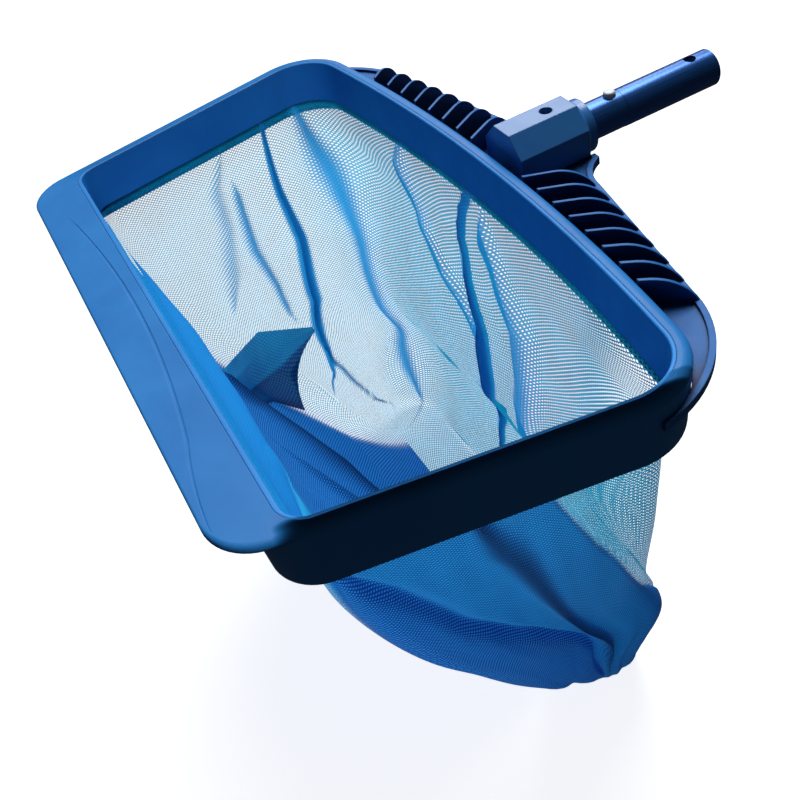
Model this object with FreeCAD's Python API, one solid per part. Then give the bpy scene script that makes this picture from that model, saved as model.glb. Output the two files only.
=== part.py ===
import FreeCAD, Part
import math
import os

# Leaf skimmer head, millimetres.
# Construction frame: x across the head, y from the scoop's leading edge back to the handle,
# z up out of the mouth, with z = 0 on top of the rim.
# Every solid is moved to the row frame when it is written: the origin is on the handle's axis,
# half way along the spigot that enters the pole.

V = FreeCAD.Vector

# ---- the frame's plan ----
front_half = 222.0        # half width on the leading edge, side lines run on to y = 0
side_slope = 0.183        # the sides open out towards the handle
frame_depth = 298.0       # leading edge to the rear rim, on the centre line
rear_bow_radius = 1590.0  # the rear rim is a shallow arc
front_corner_r = 34.0
rear_corner_r = 48.0
blade_depth = 37.0        # leading edge to the mouth
plate_t = 3.0             # blade and rim
wall_t = 3.0
wall_height = 47.0
wall_draft = 3.0
wall_front_y = 22.0       # the ring's front wall is tucked under the blade
wall_corner_r = 30.0
wall_tuck = 4.0           # and its foot is tucked further in
rim_w = 9.0               # the shell's part of the rim, up to the seam
mouth_corner_r = 20.0
rim_round = 6.0           # the rim rolls over on the sides and behind
blade_round = 1.4         # and the blade's leading edge only a little
round_depths = (0.0, 0.12, 0.4, 0.8, 1.4, 2.3, 3.5, 4.7, 6.0)
swoosh_w = 1.9            # shallow S-shaped groove on the blade
swoosh_depth = 0.45

# ---- the retainer that clamps the net ----
seam = 0.2
lip_t = 2.6
retainer_in = 11.5        # inner face of the retainer in from the outline, at the top
retainer_t = 2.0
retainer_h = 34.0
retainer_draft = 2.5
retainer_front_y = 40.4   # its inner face under the blade, and the corner there
retainer_corner_r = 16.0
retainer_edge_r = 1.2
shelf_top = -36.0
shelf_t = 2.5
shelf_in = 15.0
shelf_front_y = 43.5
shelf_corner_r = 13.0
screw_r = 1.5
screw_in = 9.4            # retainer screws, in from the outline
screw_boss_r = 3.1
screw_bite = 11.0

# ---- handle, hub ----
tube_z = -6.6
tube_r = 14.0
seat_under = 0.2          # the end in the hub is sized down
tube_wall = 1.4
tube_end_y = 485.0
hub_y0 = 304.5
hub_y1 = 361.0
collar_y1 = 371.0
hub_apothem = 24.0
collar_r = 20.0
hub_floor = 3.5
bolt_y = 341.8
bolt_r = 2.5
bolt_recess = 8.2         # the bolt's head is sunk this deep in the hub's top
recess_r = 4.8
bolt_head_r = 4.1
bolt_head_h = 2.8
washer_t = 0.95
nut_half_flats = 4.0
nut_h = 3.9
button_y = 395.5
button_r = 4.6
button_proud = 3.4
button_round = 1.9
hole_r = 4.68
pin_hole_y = 467.0
clear = 0.05

# ---- rear brace ----
web_top = -18.0
web_t = 3.0
lip_h = 7.0
lip_w = 4.0
fin_count = 8
fin_t = 2.2
fin_first_x = 34.3
fin_pitch = 20.1
fin_first_turn = 28.0
fin_last_turn = 38.0
fin_first_len = 50.0
fin_last_len = 36.0
fin_drop = 17.0
fin_arc_len = 28.0

# ---- net bag ----
net_t = 1.8
bag_in = 16.0
bag_front_y = 44.5
bag_corner_r = 12.0
hem_in = 8.0
hem_cord_r = 0.95
band_half = 185.0         # doubled strip inside the bag's front wall
band_drop = 44.0
band_gap = 0.5
band_t = 1.0
# the bag swings back towards the handle as it goes down, its front wall bows in, and its bottom
# swells out behind: half width in front and behind, front, rear, corner radius in front and
# behind, height, lean in degrees, front bow
bag_throat = (211.0, 244.0, 47.0, 279.0, 20.0, 44.0, -88.0, 3.0, 17.0)
bag_middle = (209.0, 236.0, 52.0, 274.0, 26.0, 34.0, -135.0, 8.0, 15.0)
bag_low = (205.0, 222.0, 84.0, 273.0, 30.0, 26.0, -226.0, 12.0, 5.0)
bag_hip = (204.0, 218.0, 110.0, 291.0, 34.0, 28.0, -270.0, 13.0, 1.0)
bag_keel = (201.0, 212.0, 140.0, 290.0, 34.0, 42.0, -318.0, 15.0, 0.0)
bag_base = (189.0, 198.0, 172.0, 277.0, 24.0, 26.0, -359.0, 16.0, 0.0)
rear_bow = 3.0

spigot_y0 = button_y + hole_r + 3.0
chamfer = 0.5
mount_y = (spigot_y0 + tube_end_y - chamfer) / 2


def write(name, shape):
    """One node's file, in the row frame."""
    moved = shape.copy()
    moved.translate(V(0, -mount_y, -tube_z))
    moved.exportStep("parts/" + name + ".step")


def rear_centre():
    """Centre of the right rear corner, the same for every offset of the outline."""
    c = math.cos(math.atan(side_slope))
    a = front_half - rear_corner_r / c
    m = side_slope
    yo = frame_depth - rear_bow_radius
    r = rear_bow_radius - rear_corner_r
    qa = m * m + 1
    qb = 2 * (a * m - yo)
    qc = a * a + yo * yo - r * r
    y = (-qb + math.sqrt(qb * qb - 4 * qa * qc)) / (2 * qa)
    return a + m * y, y


def outline(inset, front_y, corner_r, z):
    """The head's plan set in by inset, with its front edge at front_y."""
    phi = math.atan(side_slope)
    c = math.cos(phi)
    s = math.sin(phi)
    fy = front_y + corner_r
    fx = front_half + side_slope * fy - (inset + corner_r) / c
    rx, ry = rear_centre()
    rr = rear_corner_r - inset
    yo = frame_depth - rear_bow_radius
    big = rear_bow_radius - inset
    reach = math.hypot(rx, ry - yo)
    ux = rx / reach
    uy = (ry - yo) / reach
    half = (math.atan2(-s, c) - math.pi / 2) / 2
    front_pt = V(fx, front_y, z)
    front_mid = V(fx + corner_r * math.cos(half), fy + corner_r * math.sin(half), z)
    side_a = V(fx + corner_r * c, fy - corner_r * s, z)
    side_b = V(rx + rr * c, ry - rr * s, z)
    turn = (math.atan2(-s, c) + math.atan2(uy, ux)) / 2
    rear_mid = V(rx + rr * math.cos(turn), ry + rr * math.sin(turn), z)
    rear_pt = V(big * ux, yo + big * uy, z)
    apex = V(0, yo + big, z)
    return eight_edges([front_pt, front_mid, side_a, side_b, rear_mid, rear_pt, apex])


def eight_edges(p, front_bow=0.0):
    """Closed wire from its right half: front, corner, side, corner and bowed rear."""
    q = [V(-v.x, v.y, v.z) for v in p]
    if front_bow > 0:
        edges = [Part.Arc(q[0], V(0, p[0].y + front_bow, p[0].z), p[0]).toShape()]
    else:
        edges = [Part.LineSegment(q[0], p[0]).toShape()]
    edges.append(Part.Arc(p[0], p[1], p[2]).toShape())
    edges.append(Part.LineSegment(p[2], p[3]).toShape())
    edges.append(Part.Arc(p[3], p[4], p[5]).toShape())
    edges.append(Part.Arc(p[5], p[6], q[5]).toShape())
    edges.append(Part.Arc(q[5], q[4], q[3]).toShape())
    edges.append(Part.LineSegment(q[3], q[2]).toShape())
    edges.append(Part.Arc(q[2], q[1], q[0]).toShape())
    return Part.Wire(edges)


def prism(wire, height):
    return Part.Face(wire).extrude(V(0, 0, height))


def loft(wires):
    return Part.makeLoft(wires, True, True)


def edges_at(shape, z, test):
    found = []
    for e in shape.Edges:
        b = e.BoundBox
        flat = abs(b.ZMin - z) < 0.01 and abs(b.ZMax - z) < 0.01
        if flat and test(e):
            found.append(e)
    return found


def retainer_screw_points():
    """Eight screws in the channel between wall and retainer, two a side and four behind."""
    c = math.cos(math.atan(side_slope))
    points = []
    for y in (90.0, 205.0):
        x = front_half + side_slope * y - screw_in / c
        points += [(x, y), (-x, y)]
    for x in (60.0, 165.0):
        y = frame_depth - rear_bow_radius + math.sqrt((rear_bow_radius - screw_in) ** 2 - x * x)
        points += [(x, y), (-x, y)]
    return points


def brace_screw_points():
    points = []
    for x in (75.0, 150.0):
        y = frame_depth - rear_bow_radius + math.sqrt(rear_bow_radius ** 2 - x * x)
        points += [(x, y), (-x, y)]
    return points


# ---- frame mouldings ----

brace_screw_z = web_top - web_t - 3.0


def frame_shell():
    """Scoop blade, rim and outer wall, with the shelf the net is clamped on."""
    plate = prism(outline(0, 0, front_corner_r, -plate_t), plate_t)
    plate = plate.cut(prism(outline(rim_w, blade_depth, mouth_corner_r, -plate_t - 1), plate_t + 2))
    top = -plate_t / 2
    outer = loft([outline(0, wall_front_y, wall_corner_r, top),
                  outline(wall_draft, wall_front_y + wall_tuck, wall_corner_r + 1, -wall_height)])
    inner = loft([outline(wall_t, wall_front_y + wall_t, wall_corner_r - 3, top + 1),
                  outline(wall_t + wall_draft, wall_front_y + wall_t + wall_tuck, wall_corner_r - 2,
                          -wall_height - 1)])
    wall = outer.cut(inner)
    shelf_y = wall_front_y + wall_tuck + 0.5
    shelf = prism(outline(2.8, shelf_y, wall_corner_r, shelf_top - shelf_t), shelf_t)
    throat = outline(shelf_in, shelf_front_y, shelf_corner_r, shelf_top - shelf_t - 1)
    shelf = shelf.cut(prism(throat, shelf_t + 2))
    shell = plate.fuse([wall, shelf]).removeSplitter()
    shell = shell.cut(edge_cutter()).cut(swoosh())
    for x, y in retainer_screw_points():
        shell = shell.cut(Part.makeCylinder(screw_r + 0.3, 8, V(x, y, shelf_top - shelf_t - 2)))
    for x, y in brace_screw_points():
        shell = shell.cut(Part.makeCylinder(screw_r + 0.3, 10, V(x, y - 7, brace_screw_z), V(0, 1, 0)))
    return shell


def edge_cutter():
    """What is taken off the plate's outer edge to round it over."""
    rings = []
    for depth in round_depths:
        side = rim_round - math.sqrt(rim_round ** 2 - (rim_round - depth) ** 2)
        reach = max(blade_round - depth, 0.0)
        front = blade_round - math.sqrt(blade_round ** 2 - reach ** 2)
        rings.append(outline(side, front, front_corner_r - front, -depth))
    block = prism(outline(-2, -2, front_corner_r, -rim_round), rim_round)
    return block.cut(Part.makeLoft(rings, True, False))


def swoosh():
    """Cutter for the blade's groove: a slender S that tapers to nothing at both ends."""
    low = -swoosh_depth
    start = V(-162, 18.0, low)
    end = V(201, 4.0, low)
    edges = []
    for side in (1, -1):
        h = side * swoosh_w / 2
        turn = V(128, 15.4 + h, low)
        first = Part.Arc(start, V(-8, 28.4 + h, low), turn)
        second = Part.Arc(turn, V(163, 7.6 + 0.7 * h, low), end)
        edges += [first.toShape(), second.toShape()]
    return Part.Face(Part.Wire(Part.sortEdges(edges)[0])).extrude(V(0, 0, swoosh_depth + 1))


def retainer_ring():
    """Inner half of the rim and the mouth's inner wall; its foot presses the hem on the shelf."""
    lip = prism(outline(rim_w + seam, blade_depth + seam, mouth_corner_r - seam, -lip_t), lip_t)
    outer_in = retainer_in - retainer_t
    outer_y = retainer_front_y - retainer_t - 0.3
    outer_r = retainer_corner_r + retainer_t
    outer = loft([outline(outer_in, outer_y, outer_r, -1),
                  outline(outer_in + retainer_draft, outer_y + 1.8, outer_r - 2, -retainer_h)])
    inner = loft([outline(retainer_in, retainer_front_y, retainer_corner_r, 1),
                  outline(retainer_in + retainer_draft, retainer_front_y + 1.8,
                          retainer_corner_r - 2, -retainer_h - 1)])
    ring = lip.fuse(outer).cut(inner).removeSplitter()
    ring = ring.makeFillet(retainer_edge_r, edges_at(ring, 0, inner_rim))
    for x, y in retainer_screw_points():
        boss = Part.makeCylinder(screw_boss_r, 14, V(x, y, -retainer_h + 0.3))
        ring = ring.fuse(boss)
    ring = ring.cut(inner)
    for x, y in retainer_screw_points():
        ring = ring.cut(Part.makeCylinder(screw_r + clear, 11, V(x, y, -retainer_h - 1)))
    return ring


def inner_rim(edge):
    ring = outline(retainer_in, retainer_front_y, retainer_corner_r, 0)
    mid = edge.valueAt((edge.FirstParameter + edge.LastParameter) / 2)
    return ring.distToShape(Part.Vertex(mid))[0] < 0.5


def brace_plan(z):
    """Outline of the web behind the rim: hub notch, straight rear edge, rounded corner."""
    right = [V(30, 364, z), V(39, 352, z), V(58, 344, z), V(200, 316, z)]
    corner = [V(244, 288, z), V(265.5, 238, z)]
    inner = V(150, 238, z)
    left = [V(-v.x, v.y, v.z) for v in right]
    left_corner = [V(-v.x, v.y, v.z) for v in corner]
    left_inner = V(-150, 238, z)
    edges = [Part.LineSegment(left[0], right[0]).toShape()]
    edges.append(Part.Arc(right[0], right[1], right[2]).toShape())
    edges.append(Part.LineSegment(right[2], right[3]).toShape())
    edges.append(Part.Arc(right[3], corner[0], corner[1]).toShape())
    edges.append(Part.LineSegment(corner[1], inner).toShape())
    edges.append(Part.LineSegment(inner, left_inner).toShape())
    edges.append(Part.LineSegment(left_inner, left_corner[1]).toShape())
    edges.append(Part.Arc(left_corner[1], left_corner[0], left[3]).toShape())
    edges.append(Part.LineSegment(left[3], left[2]).toShape())
    edges.append(Part.Arc(left[2], left[1], left[0]).toShape())
    return Part.Wire(edges)


def fin(k, side):
    """Arched plate from the rim down to the lip, turned outwards."""
    share = k / (fin_count - 1)
    length = fin_first_len + share * (fin_last_len - fin_first_len)
    turn = fin_first_turn + share * (fin_last_turn - fin_first_turn)
    x = fin_first_x + k * fin_pitch
    y = frame_depth - rear_bow_radius + math.sqrt(rear_bow_radius ** 2 - x * x)
    start = length - fin_arc_len
    rho = (fin_arc_len ** 2 + fin_drop ** 2) / (2 * fin_drop)
    half = math.asin(fin_arc_len / rho) / 2
    mid = V(0, start + rho * math.sin(half), rho * math.cos(half) - rho)
    foot = web_top - 1
    a = V(0, -8, -0.4)
    b = V(0, start, 0)
    c = V(0, length, -fin_drop)
    edges = [Part.LineSegment(V(0, -8, foot), a).toShape()]
    edges.append(Part.LineSegment(a, b).toShape())
    edges.append(Part.Arc(b, mid, c).toShape())
    edges.append(Part.LineSegment(c, V(0, length, foot)).toShape())
    edges.append(Part.LineSegment(V(0, length, foot), V(0, -8, foot)).toShape())
    plate = Part.Face(Part.Wire(edges)).extrude(V(fin_t, 0, 0))
    plate.translate(V(-fin_t / 2, 0, 0))
    plate.rotate(V(0, 0, 0), V(0, 0, 1), -side * turn)
    plate.translate(V(side * x, y, 0))
    return plate


def octagon(apothem, y0, y1):
    """Regular octagonal prism round the handle's axis, a flat on top."""
    r = apothem / math.cos(math.pi / 8)
    angles = [math.pi / 8 + i * math.pi / 4 for i in range(9)]
    pts = [V(r * math.cos(t), y0, tube_z + r * math.sin(t)) for t in angles]
    return Part.Face(Part.makePolygon(pts)).extrude(V(0, y1 - y0, 0))


def rear_brace():
    """Finned web behind the ring with a rolled lip, notched for the hub."""
    edge = brace_plan(web_top - web_t)
    face = Part.Face(edge)
    web = face.extrude(V(0, 0, web_t))
    tall = Part.Face(brace_plan(web_top - web_t - 1)).extrude(V(0, 0, lip_h - 1))
    core = Part.Face(brace_plan(web_top - web_t - 1)).makeOffset2D(-lip_w).extrude(V(0, 0, lip_h - 1))
    lip = tall.cut(core)
    fins = [fin(k, side) for k in range(fin_count) for side in (1, -1)]
    bosses = []
    for x, y in brace_screw_points():
        bosses.append(Part.makeCylinder(3.4, 14, V(x, y - 2, brace_screw_z), V(0, 1, 0)))
    ribs = []
    for side in (1, -1):
        for x in (29.0, 37.0):
            rib = Part.makeBox(2.4, 44, 10, V(side * x - 1.2, 300, web_top - web_t - 8))
            ribs.append(rib)
    body = web.fuse([lip] + fins + bosses + ribs)
    ring = loft([outline(-seam, wall_front_y, wall_corner_r, 20),
                 outline(-seam, wall_front_y, wall_corner_r, 0),
                 outline(wall_draft - seam, wall_front_y + 1, wall_corner_r - 2, -wall_height)])
    body = body.cut(ring)
    body = body.cut(octagon(hub_apothem + clear, hub_y0 - 4, 400))
    for x, y in brace_screw_points():
        body = body.cut(Part.makeCylinder(screw_r + clear, 12, V(x, y - 3, brace_screw_z), V(0, 1, 0)))
    return biggest(body)


def biggest(shape):
    return max(shape.Solids, key=lambda s: s.Volume)


def hub_socket():
    """Octagonal socket with a round collar; the handle is seated in its bore."""
    body = octagon(hub_apothem, hub_y0, hub_y1)
    axis = V(0, 1, 0)
    collar = Part.makeCylinder(collar_r, collar_y1 - hub_y1 + 4, V(0, hub_y1 - 4, tube_z), axis)
    shoulder = Part.makeCone(hub_apothem, collar_r, 4, V(0, hub_y1, tube_z), axis)
    body = body.fuse([collar, shoulder])
    seat_r = tube_r - seat_under + clear
    body = body.cut(Part.makeCylinder(seat_r, 100, V(0, hub_y0 + hub_floor, tube_z), axis))
    body = body.cut(Part.makeCylinder(bolt_r + 0.2, 60, V(0, bolt_y, tube_z - 30)))
    recess = Part.makeCylinder(recess_r, bolt_recess + 1, V(0, bolt_y, bolt_seat))
    pocket = hexagon(nut_half_flats + 0.15, tube_z - hub_apothem - 1, nut_h + 1.3)
    return body.cut(recess).cut(pocket)


def hexagon(half_flats, z0, height):
    r = half_flats / math.cos(math.pi / 6)
    pts = [V(r * math.cos(i * math.pi / 3), bolt_y + r * math.sin(i * math.pi / 3), z0) for i in range(7)]
    return Part.Face(Part.makePolygon(pts)).extrude(V(0, 0, height))


# ---- handle and its hardware ----


def handle_tube():
    """Aluminium spigot, sized down where it enters the hub.

    The bolt and the pin near the free end go right through; the button has a hole on top only.
    """
    y0 = hub_y0 + hub_floor + 0.3
    axis = V(0, 1, 0)
    tube = Part.makeCylinder(tube_r - seat_under, spigot_y0 - y0, V(0, y0, tube_z), axis)
    end_y = tube_end_y - chamfer
    spigot = Part.makeCylinder(tube_r, end_y - spigot_y0, V(0, spigot_y0, tube_z), axis)
    tip = Part.makeCone(tube_r, tube_r - chamfer, chamfer, V(0, end_y, tube_z), axis)
    tube = tube.fuse(spigot).fuse(tip)
    tube = tube.cut(Part.makeCylinder(tube_r - tube_wall, 200, V(0, y0 - 1, tube_z), axis))
    for y, r in ((bolt_y, bolt_r + 0.2), (pin_hole_y, hole_r)):
        tube = tube.cut(Part.makeCylinder(r, 3 * tube_r, V(0, y, tube_z - 1.5 * tube_r)))
    return tube.cut(Part.makeCylinder(hole_r, 1.5 * tube_r, V(0, button_y, tube_z)))


bolt_seat = tube_z + hub_apothem - bolt_recess


def hub_bolt():
    """Button-head bolt down through hub and handle, sunk in its recess on a washer."""
    seat = bolt_seat + washer_t + clear
    head = Part.makeCylinder(bolt_head_r, bolt_head_h, V(0, bolt_y, seat))
    head = head.makeFillet(0.8, edges_at(head, seat + bolt_head_h, lambda e: True))
    socket = hexagon(1.5, seat + bolt_head_h / 2, bolt_head_h)
    foot = tube_z - hub_apothem + 1.0
    shank = Part.makeCylinder(bolt_r, seat - foot, V(0, bolt_y, foot))
    return head.fuse(shank).cut(socket)


def hub_washer():
    ring = Part.makeCylinder(bolt_head_r + 0.5, washer_t, V(0, bolt_y, bolt_seat + 0.02))
    return ring.cut(Part.makeCylinder(bolt_r + 0.1, 3, V(0, bolt_y, bolt_seat - 1)))


def hub_nut():
    """Nut in a hexagonal pocket under the hub."""
    z = tube_z - hub_apothem
    nut = hexagon(nut_half_flats, z + 0.2, nut_h)
    return nut.cut(Part.makeCylinder(bolt_r + clear, 10, V(0, bolt_y, z - 2)))


leaf_z = 11.6             # outer face of the clip's upper leaf above the axis
foot_z = 12.0             # and of its lower leaf below it, against the tube's wall
leaf_t = 0.8
leaf_w = 7.0
leaf_past = 6.0           # the leaves run this far past the button
leaf_knee = 8.0           # and turn flat this far before them
bend_r = 2.4
bend_from_bolt = 12.0


def clip_spring():
    """V-shaped strip inside the handle: one leaf carries the button, the other bears on the tube."""
    y_bend = bolt_y + bend_from_bolt

    def leaf(height, side):
        """Outer face from the leaf's end to the bend, and inner face back, above or below the axis."""
        y_end = button_y + leaf_past
        y_knee = button_y - leaf_knee
        face = [(y_end, height), (y_knee, height), (y_bend + bend_r, bend_r)]
        back = [(y_bend + bend_r + 0.3, bend_r - leaf_t), (y_knee + 0.3, height - leaf_t)]
        back.append((y_end, height - leaf_t))
        return [V(-leaf_w / 2, y, tube_z + side * z) for y, z in face + back]

    def pt(y, z):
        return V(-leaf_w / 2, y, tube_z + z)

    top = leaf(leaf_z, 1)
    foot = leaf(foot_z, -1)
    up, iu = top[:3], top[3:]
    down, idn = foot[:3], foot[3:]
    edges = [Part.LineSegment(up[0], up[1]).toShape(), Part.LineSegment(up[1], up[2]).toShape()]
    edges.append(Part.Arc(up[2], pt(y_bend - 0.4, 0), down[2]).toShape())
    edges.append(Part.LineSegment(down[2], down[1]).toShape())
    edges.append(Part.LineSegment(down[1], down[0]).toShape())
    edges.append(Part.LineSegment(down[0], idn[2]).toShape())
    edges.append(Part.LineSegment(idn[2], idn[1]).toShape())
    edges.append(Part.LineSegment(idn[1], idn[0]).toShape())
    edges.append(Part.Arc(idn[0], pt(y_bend + 0.4, 0), iu[0]).toShape())
    edges.append(Part.LineSegment(iu[0], iu[1]).toShape())
    edges.append(Part.LineSegment(iu[1], iu[2]).toShape())
    edges.append(Part.LineSegment(iu[2], up[0]).toShape())
    return Part.Face(Part.Wire(edges)).extrude(V(leaf_w, 0, 0))


def snap_button():
    """Round-topped locking button standing on the upper leaf, out through the handle's wall."""
    base = leaf_z + clear
    height = tube_r + button_proud - base
    body = Part.makeCylinder(button_r, height, V(0, button_y, base))
    body = body.makeFillet(button_round, edges_at(body, base + height, lambda e: True))
    body.translate(V(0, 0, tube_z))
    return body


def retainer_screws():
    """Pan-head screws up through the shelf into the retainer's bosses."""
    screws = []
    z = shelf_top - shelf_t
    for x, y in retainer_screw_points():
        head = Part.makeCylinder(2.5, 1.8, V(x, y, z - 1.85))
        head = head.makeFillet(0.7, edges_at(head, z - 1.85, lambda e: True))
        shank = Part.makeCylinder(screw_r, screw_bite, V(x, y, z - 0.5))
        screws.append(head.fuse(shank))
    return Part.Compound(screws)


def brace_screws():
    """Screws back through the ring's rear wall into the brace."""
    screws = []
    for x, y in brace_screw_points():
        axis = V(0, 1, 0)
        seat = y - wall_t - 2.0
        head = Part.makeCylinder(2.5, 1.6, V(x, seat - 1.6, brace_screw_z), axis)
        shank = Part.makeCylinder(screw_r, 13.0, V(x, seat - 0.5, brace_screw_z), axis)
        screws.append(head.fuse(shank))
    return Part.Compound(screws)


# ---- net ----


def bag_section(level, t, drop=0.0):
    """One level of the bag set in by t: a rounded four-sided loop, tipped about the x axis."""
    half_front, half_rear, y0, y1, r, r_rear, z, lean, bow = level
    half_front -= t
    half_rear -= t
    y0 += t
    y1 -= t
    r -= t
    r_rear -= t
    z += drop
    slope = (half_rear - half_front) / (y1 - y0)
    phi = math.atan(slope)
    c = math.cos(phi)
    s = math.sin(phi)
    fy = y0 + r
    fx = half_front + slope * r - r / c
    ry = y1 - r_rear
    rx = half_front + slope * (ry - y0) - r_rear / c
    half = (math.atan2(-s, c) - math.pi / 2) / 2
    turn = (math.atan2(-s, c) + math.pi / 2) / 2
    pts = [V(fx, y0, z), V(fx + r * math.cos(half), fy + r * math.sin(half), z)]
    pts += [V(fx + r * c, fy - r * s, z), V(rx + r_rear * c, ry - r_rear * s, z)]
    pts += [V(rx + r_rear * math.cos(turn), ry + r_rear * math.sin(turn), z), V(rx, y1, z)]
    pts.append(V(0, y1 + rear_bow, z))
    wire = eight_edges(pts, bow)
    wire.rotate(V(0, (y0 + y1) / 2, z), V(1, 0, 0), -lean)
    return wire


def bag_levels(t):
    """The bag's levels from mouth to base, set in by t."""
    mouth = outline(bag_in + t, bag_front_y + t, bag_corner_r - t, shelf_top + 0.1)
    neck = outline(bag_in + t, bag_front_y + t, bag_corner_r - t, shelf_top - shelf_t - 4)
    upper = [bag_section(level, t) for level in (bag_throat, bag_middle, bag_low, bag_hip)]
    lower = [bag_section(level, t, t) for level in (bag_keel, bag_base)]
    return [mouth, neck] + upper + lower


def net_bag():
    """Deep bag with its hem; closed below, open at the mouth."""
    outer = loft(bag_levels(0.0))
    inner = loft(bag_levels(net_t))
    mouth = outline(bag_in + net_t, bag_front_y + net_t, bag_corner_r - net_t, shelf_top - 1)
    hem = prism(outline(hem_in, 38.3, 19.5, shelf_top + 0.1), net_t)
    hem = hem.cut(prism(mouth, net_t + 3))
    bag = hem.fuse(outer.cut(inner)).removeSplitter()
    for x, y in retainer_screw_points():
        bag = bag.cut(Part.makeCylinder(screw_r + 0.4, 4, V(x, y, shelf_top - 1)))
    return bag


def hem_cord():
    """Cord along the hem's edge, in the channel outside the retainer's foot."""
    path = outline(hem_in - 1.2, 37.1, 20.7, shelf_top + hem_cord_r + 0.1)
    start = path.Edges[0].valueAt(path.Edges[0].FirstParameter)
    loop = Part.Wire(Part.Circle(start, V(1, 0, 0), hem_cord_r).toShape())
    return path.makePipeShell([loop], True, True)


def front_band():
    """Doubled strip of net sewn inside the bag's front wall, under the blade."""
    near = net_t + band_gap
    strip = loft(bag_levels(near)).cut(loft(bag_levels(near + band_t)))
    top = shelf_top - shelf_t - 5
    window = Part.makeBox(2 * band_half, 60, band_drop, V(-band_half, bag_front_y, top - band_drop))
    return strip.common(window)


os.makedirs("parts", exist_ok=True)
write("frame_shell", frame_shell())
write("retainer_ring", retainer_ring())
write("rear_brace", rear_brace())
write("hub_socket", hub_socket())
write("handle_tube", handle_tube())
write("hub_bolt", hub_bolt())
write("hub_washer", hub_washer())
write("hub_nut", hub_nut())
write("clip_spring", clip_spring())
write("snap_button", snap_button())
write("retainer_screws", retainer_screws())
write("brace_screws", brace_screws())
write("net_bag", net_bag())
write("hem_cord", hem_cord())
write("front_band", front_band())
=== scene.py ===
import math

import bpy
import numpy as np
from mathutils import Matrix, Vector, noise


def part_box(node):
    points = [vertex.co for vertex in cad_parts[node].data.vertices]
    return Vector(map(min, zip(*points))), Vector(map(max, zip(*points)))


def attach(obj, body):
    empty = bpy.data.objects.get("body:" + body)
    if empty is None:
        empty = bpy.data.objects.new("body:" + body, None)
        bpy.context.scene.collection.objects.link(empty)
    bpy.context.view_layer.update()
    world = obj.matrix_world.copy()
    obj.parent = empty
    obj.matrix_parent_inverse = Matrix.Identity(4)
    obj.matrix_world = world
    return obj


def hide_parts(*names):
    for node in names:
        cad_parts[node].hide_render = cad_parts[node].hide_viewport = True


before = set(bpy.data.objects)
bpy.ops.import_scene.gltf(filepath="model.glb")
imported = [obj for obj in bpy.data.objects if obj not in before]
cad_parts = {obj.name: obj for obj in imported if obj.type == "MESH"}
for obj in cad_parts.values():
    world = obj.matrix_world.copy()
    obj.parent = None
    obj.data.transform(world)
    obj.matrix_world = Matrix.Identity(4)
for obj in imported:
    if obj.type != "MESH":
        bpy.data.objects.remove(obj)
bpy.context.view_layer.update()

MM = 0.001

# ---- places taken from the frame, in metres ----
SHELL_LOW, SHELL_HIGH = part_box("frame_shell")
NET_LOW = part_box("net_bag")[0]
FRONT_Y = SHELL_LOW[1]          # the blade's leading edge
RIM_Z = SHELL_HIGH[2]           # top of the rim
FLOOR_Z = NET_LOW[2] - 0.0015

# ---- the head's plan, in mm from the middle of the leading edge ----
FRONT_HALF, SIDE_SLOPE = 222.0, 0.183       # half its width in front, and how its sides spread
FRAME_DEPTH, REAR_BOW = 298.0, 1590.0       # front to rear, and the rear's radius
REAR_CORNER = 48.0
SIDE_TURN = math.atan(SIDE_SLOPE)

CAMERA_PLACE = (0.57948, -0.445336, 0.403385)   # metres; the flap bulges towards it


# ---- shader helpers ----


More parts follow.
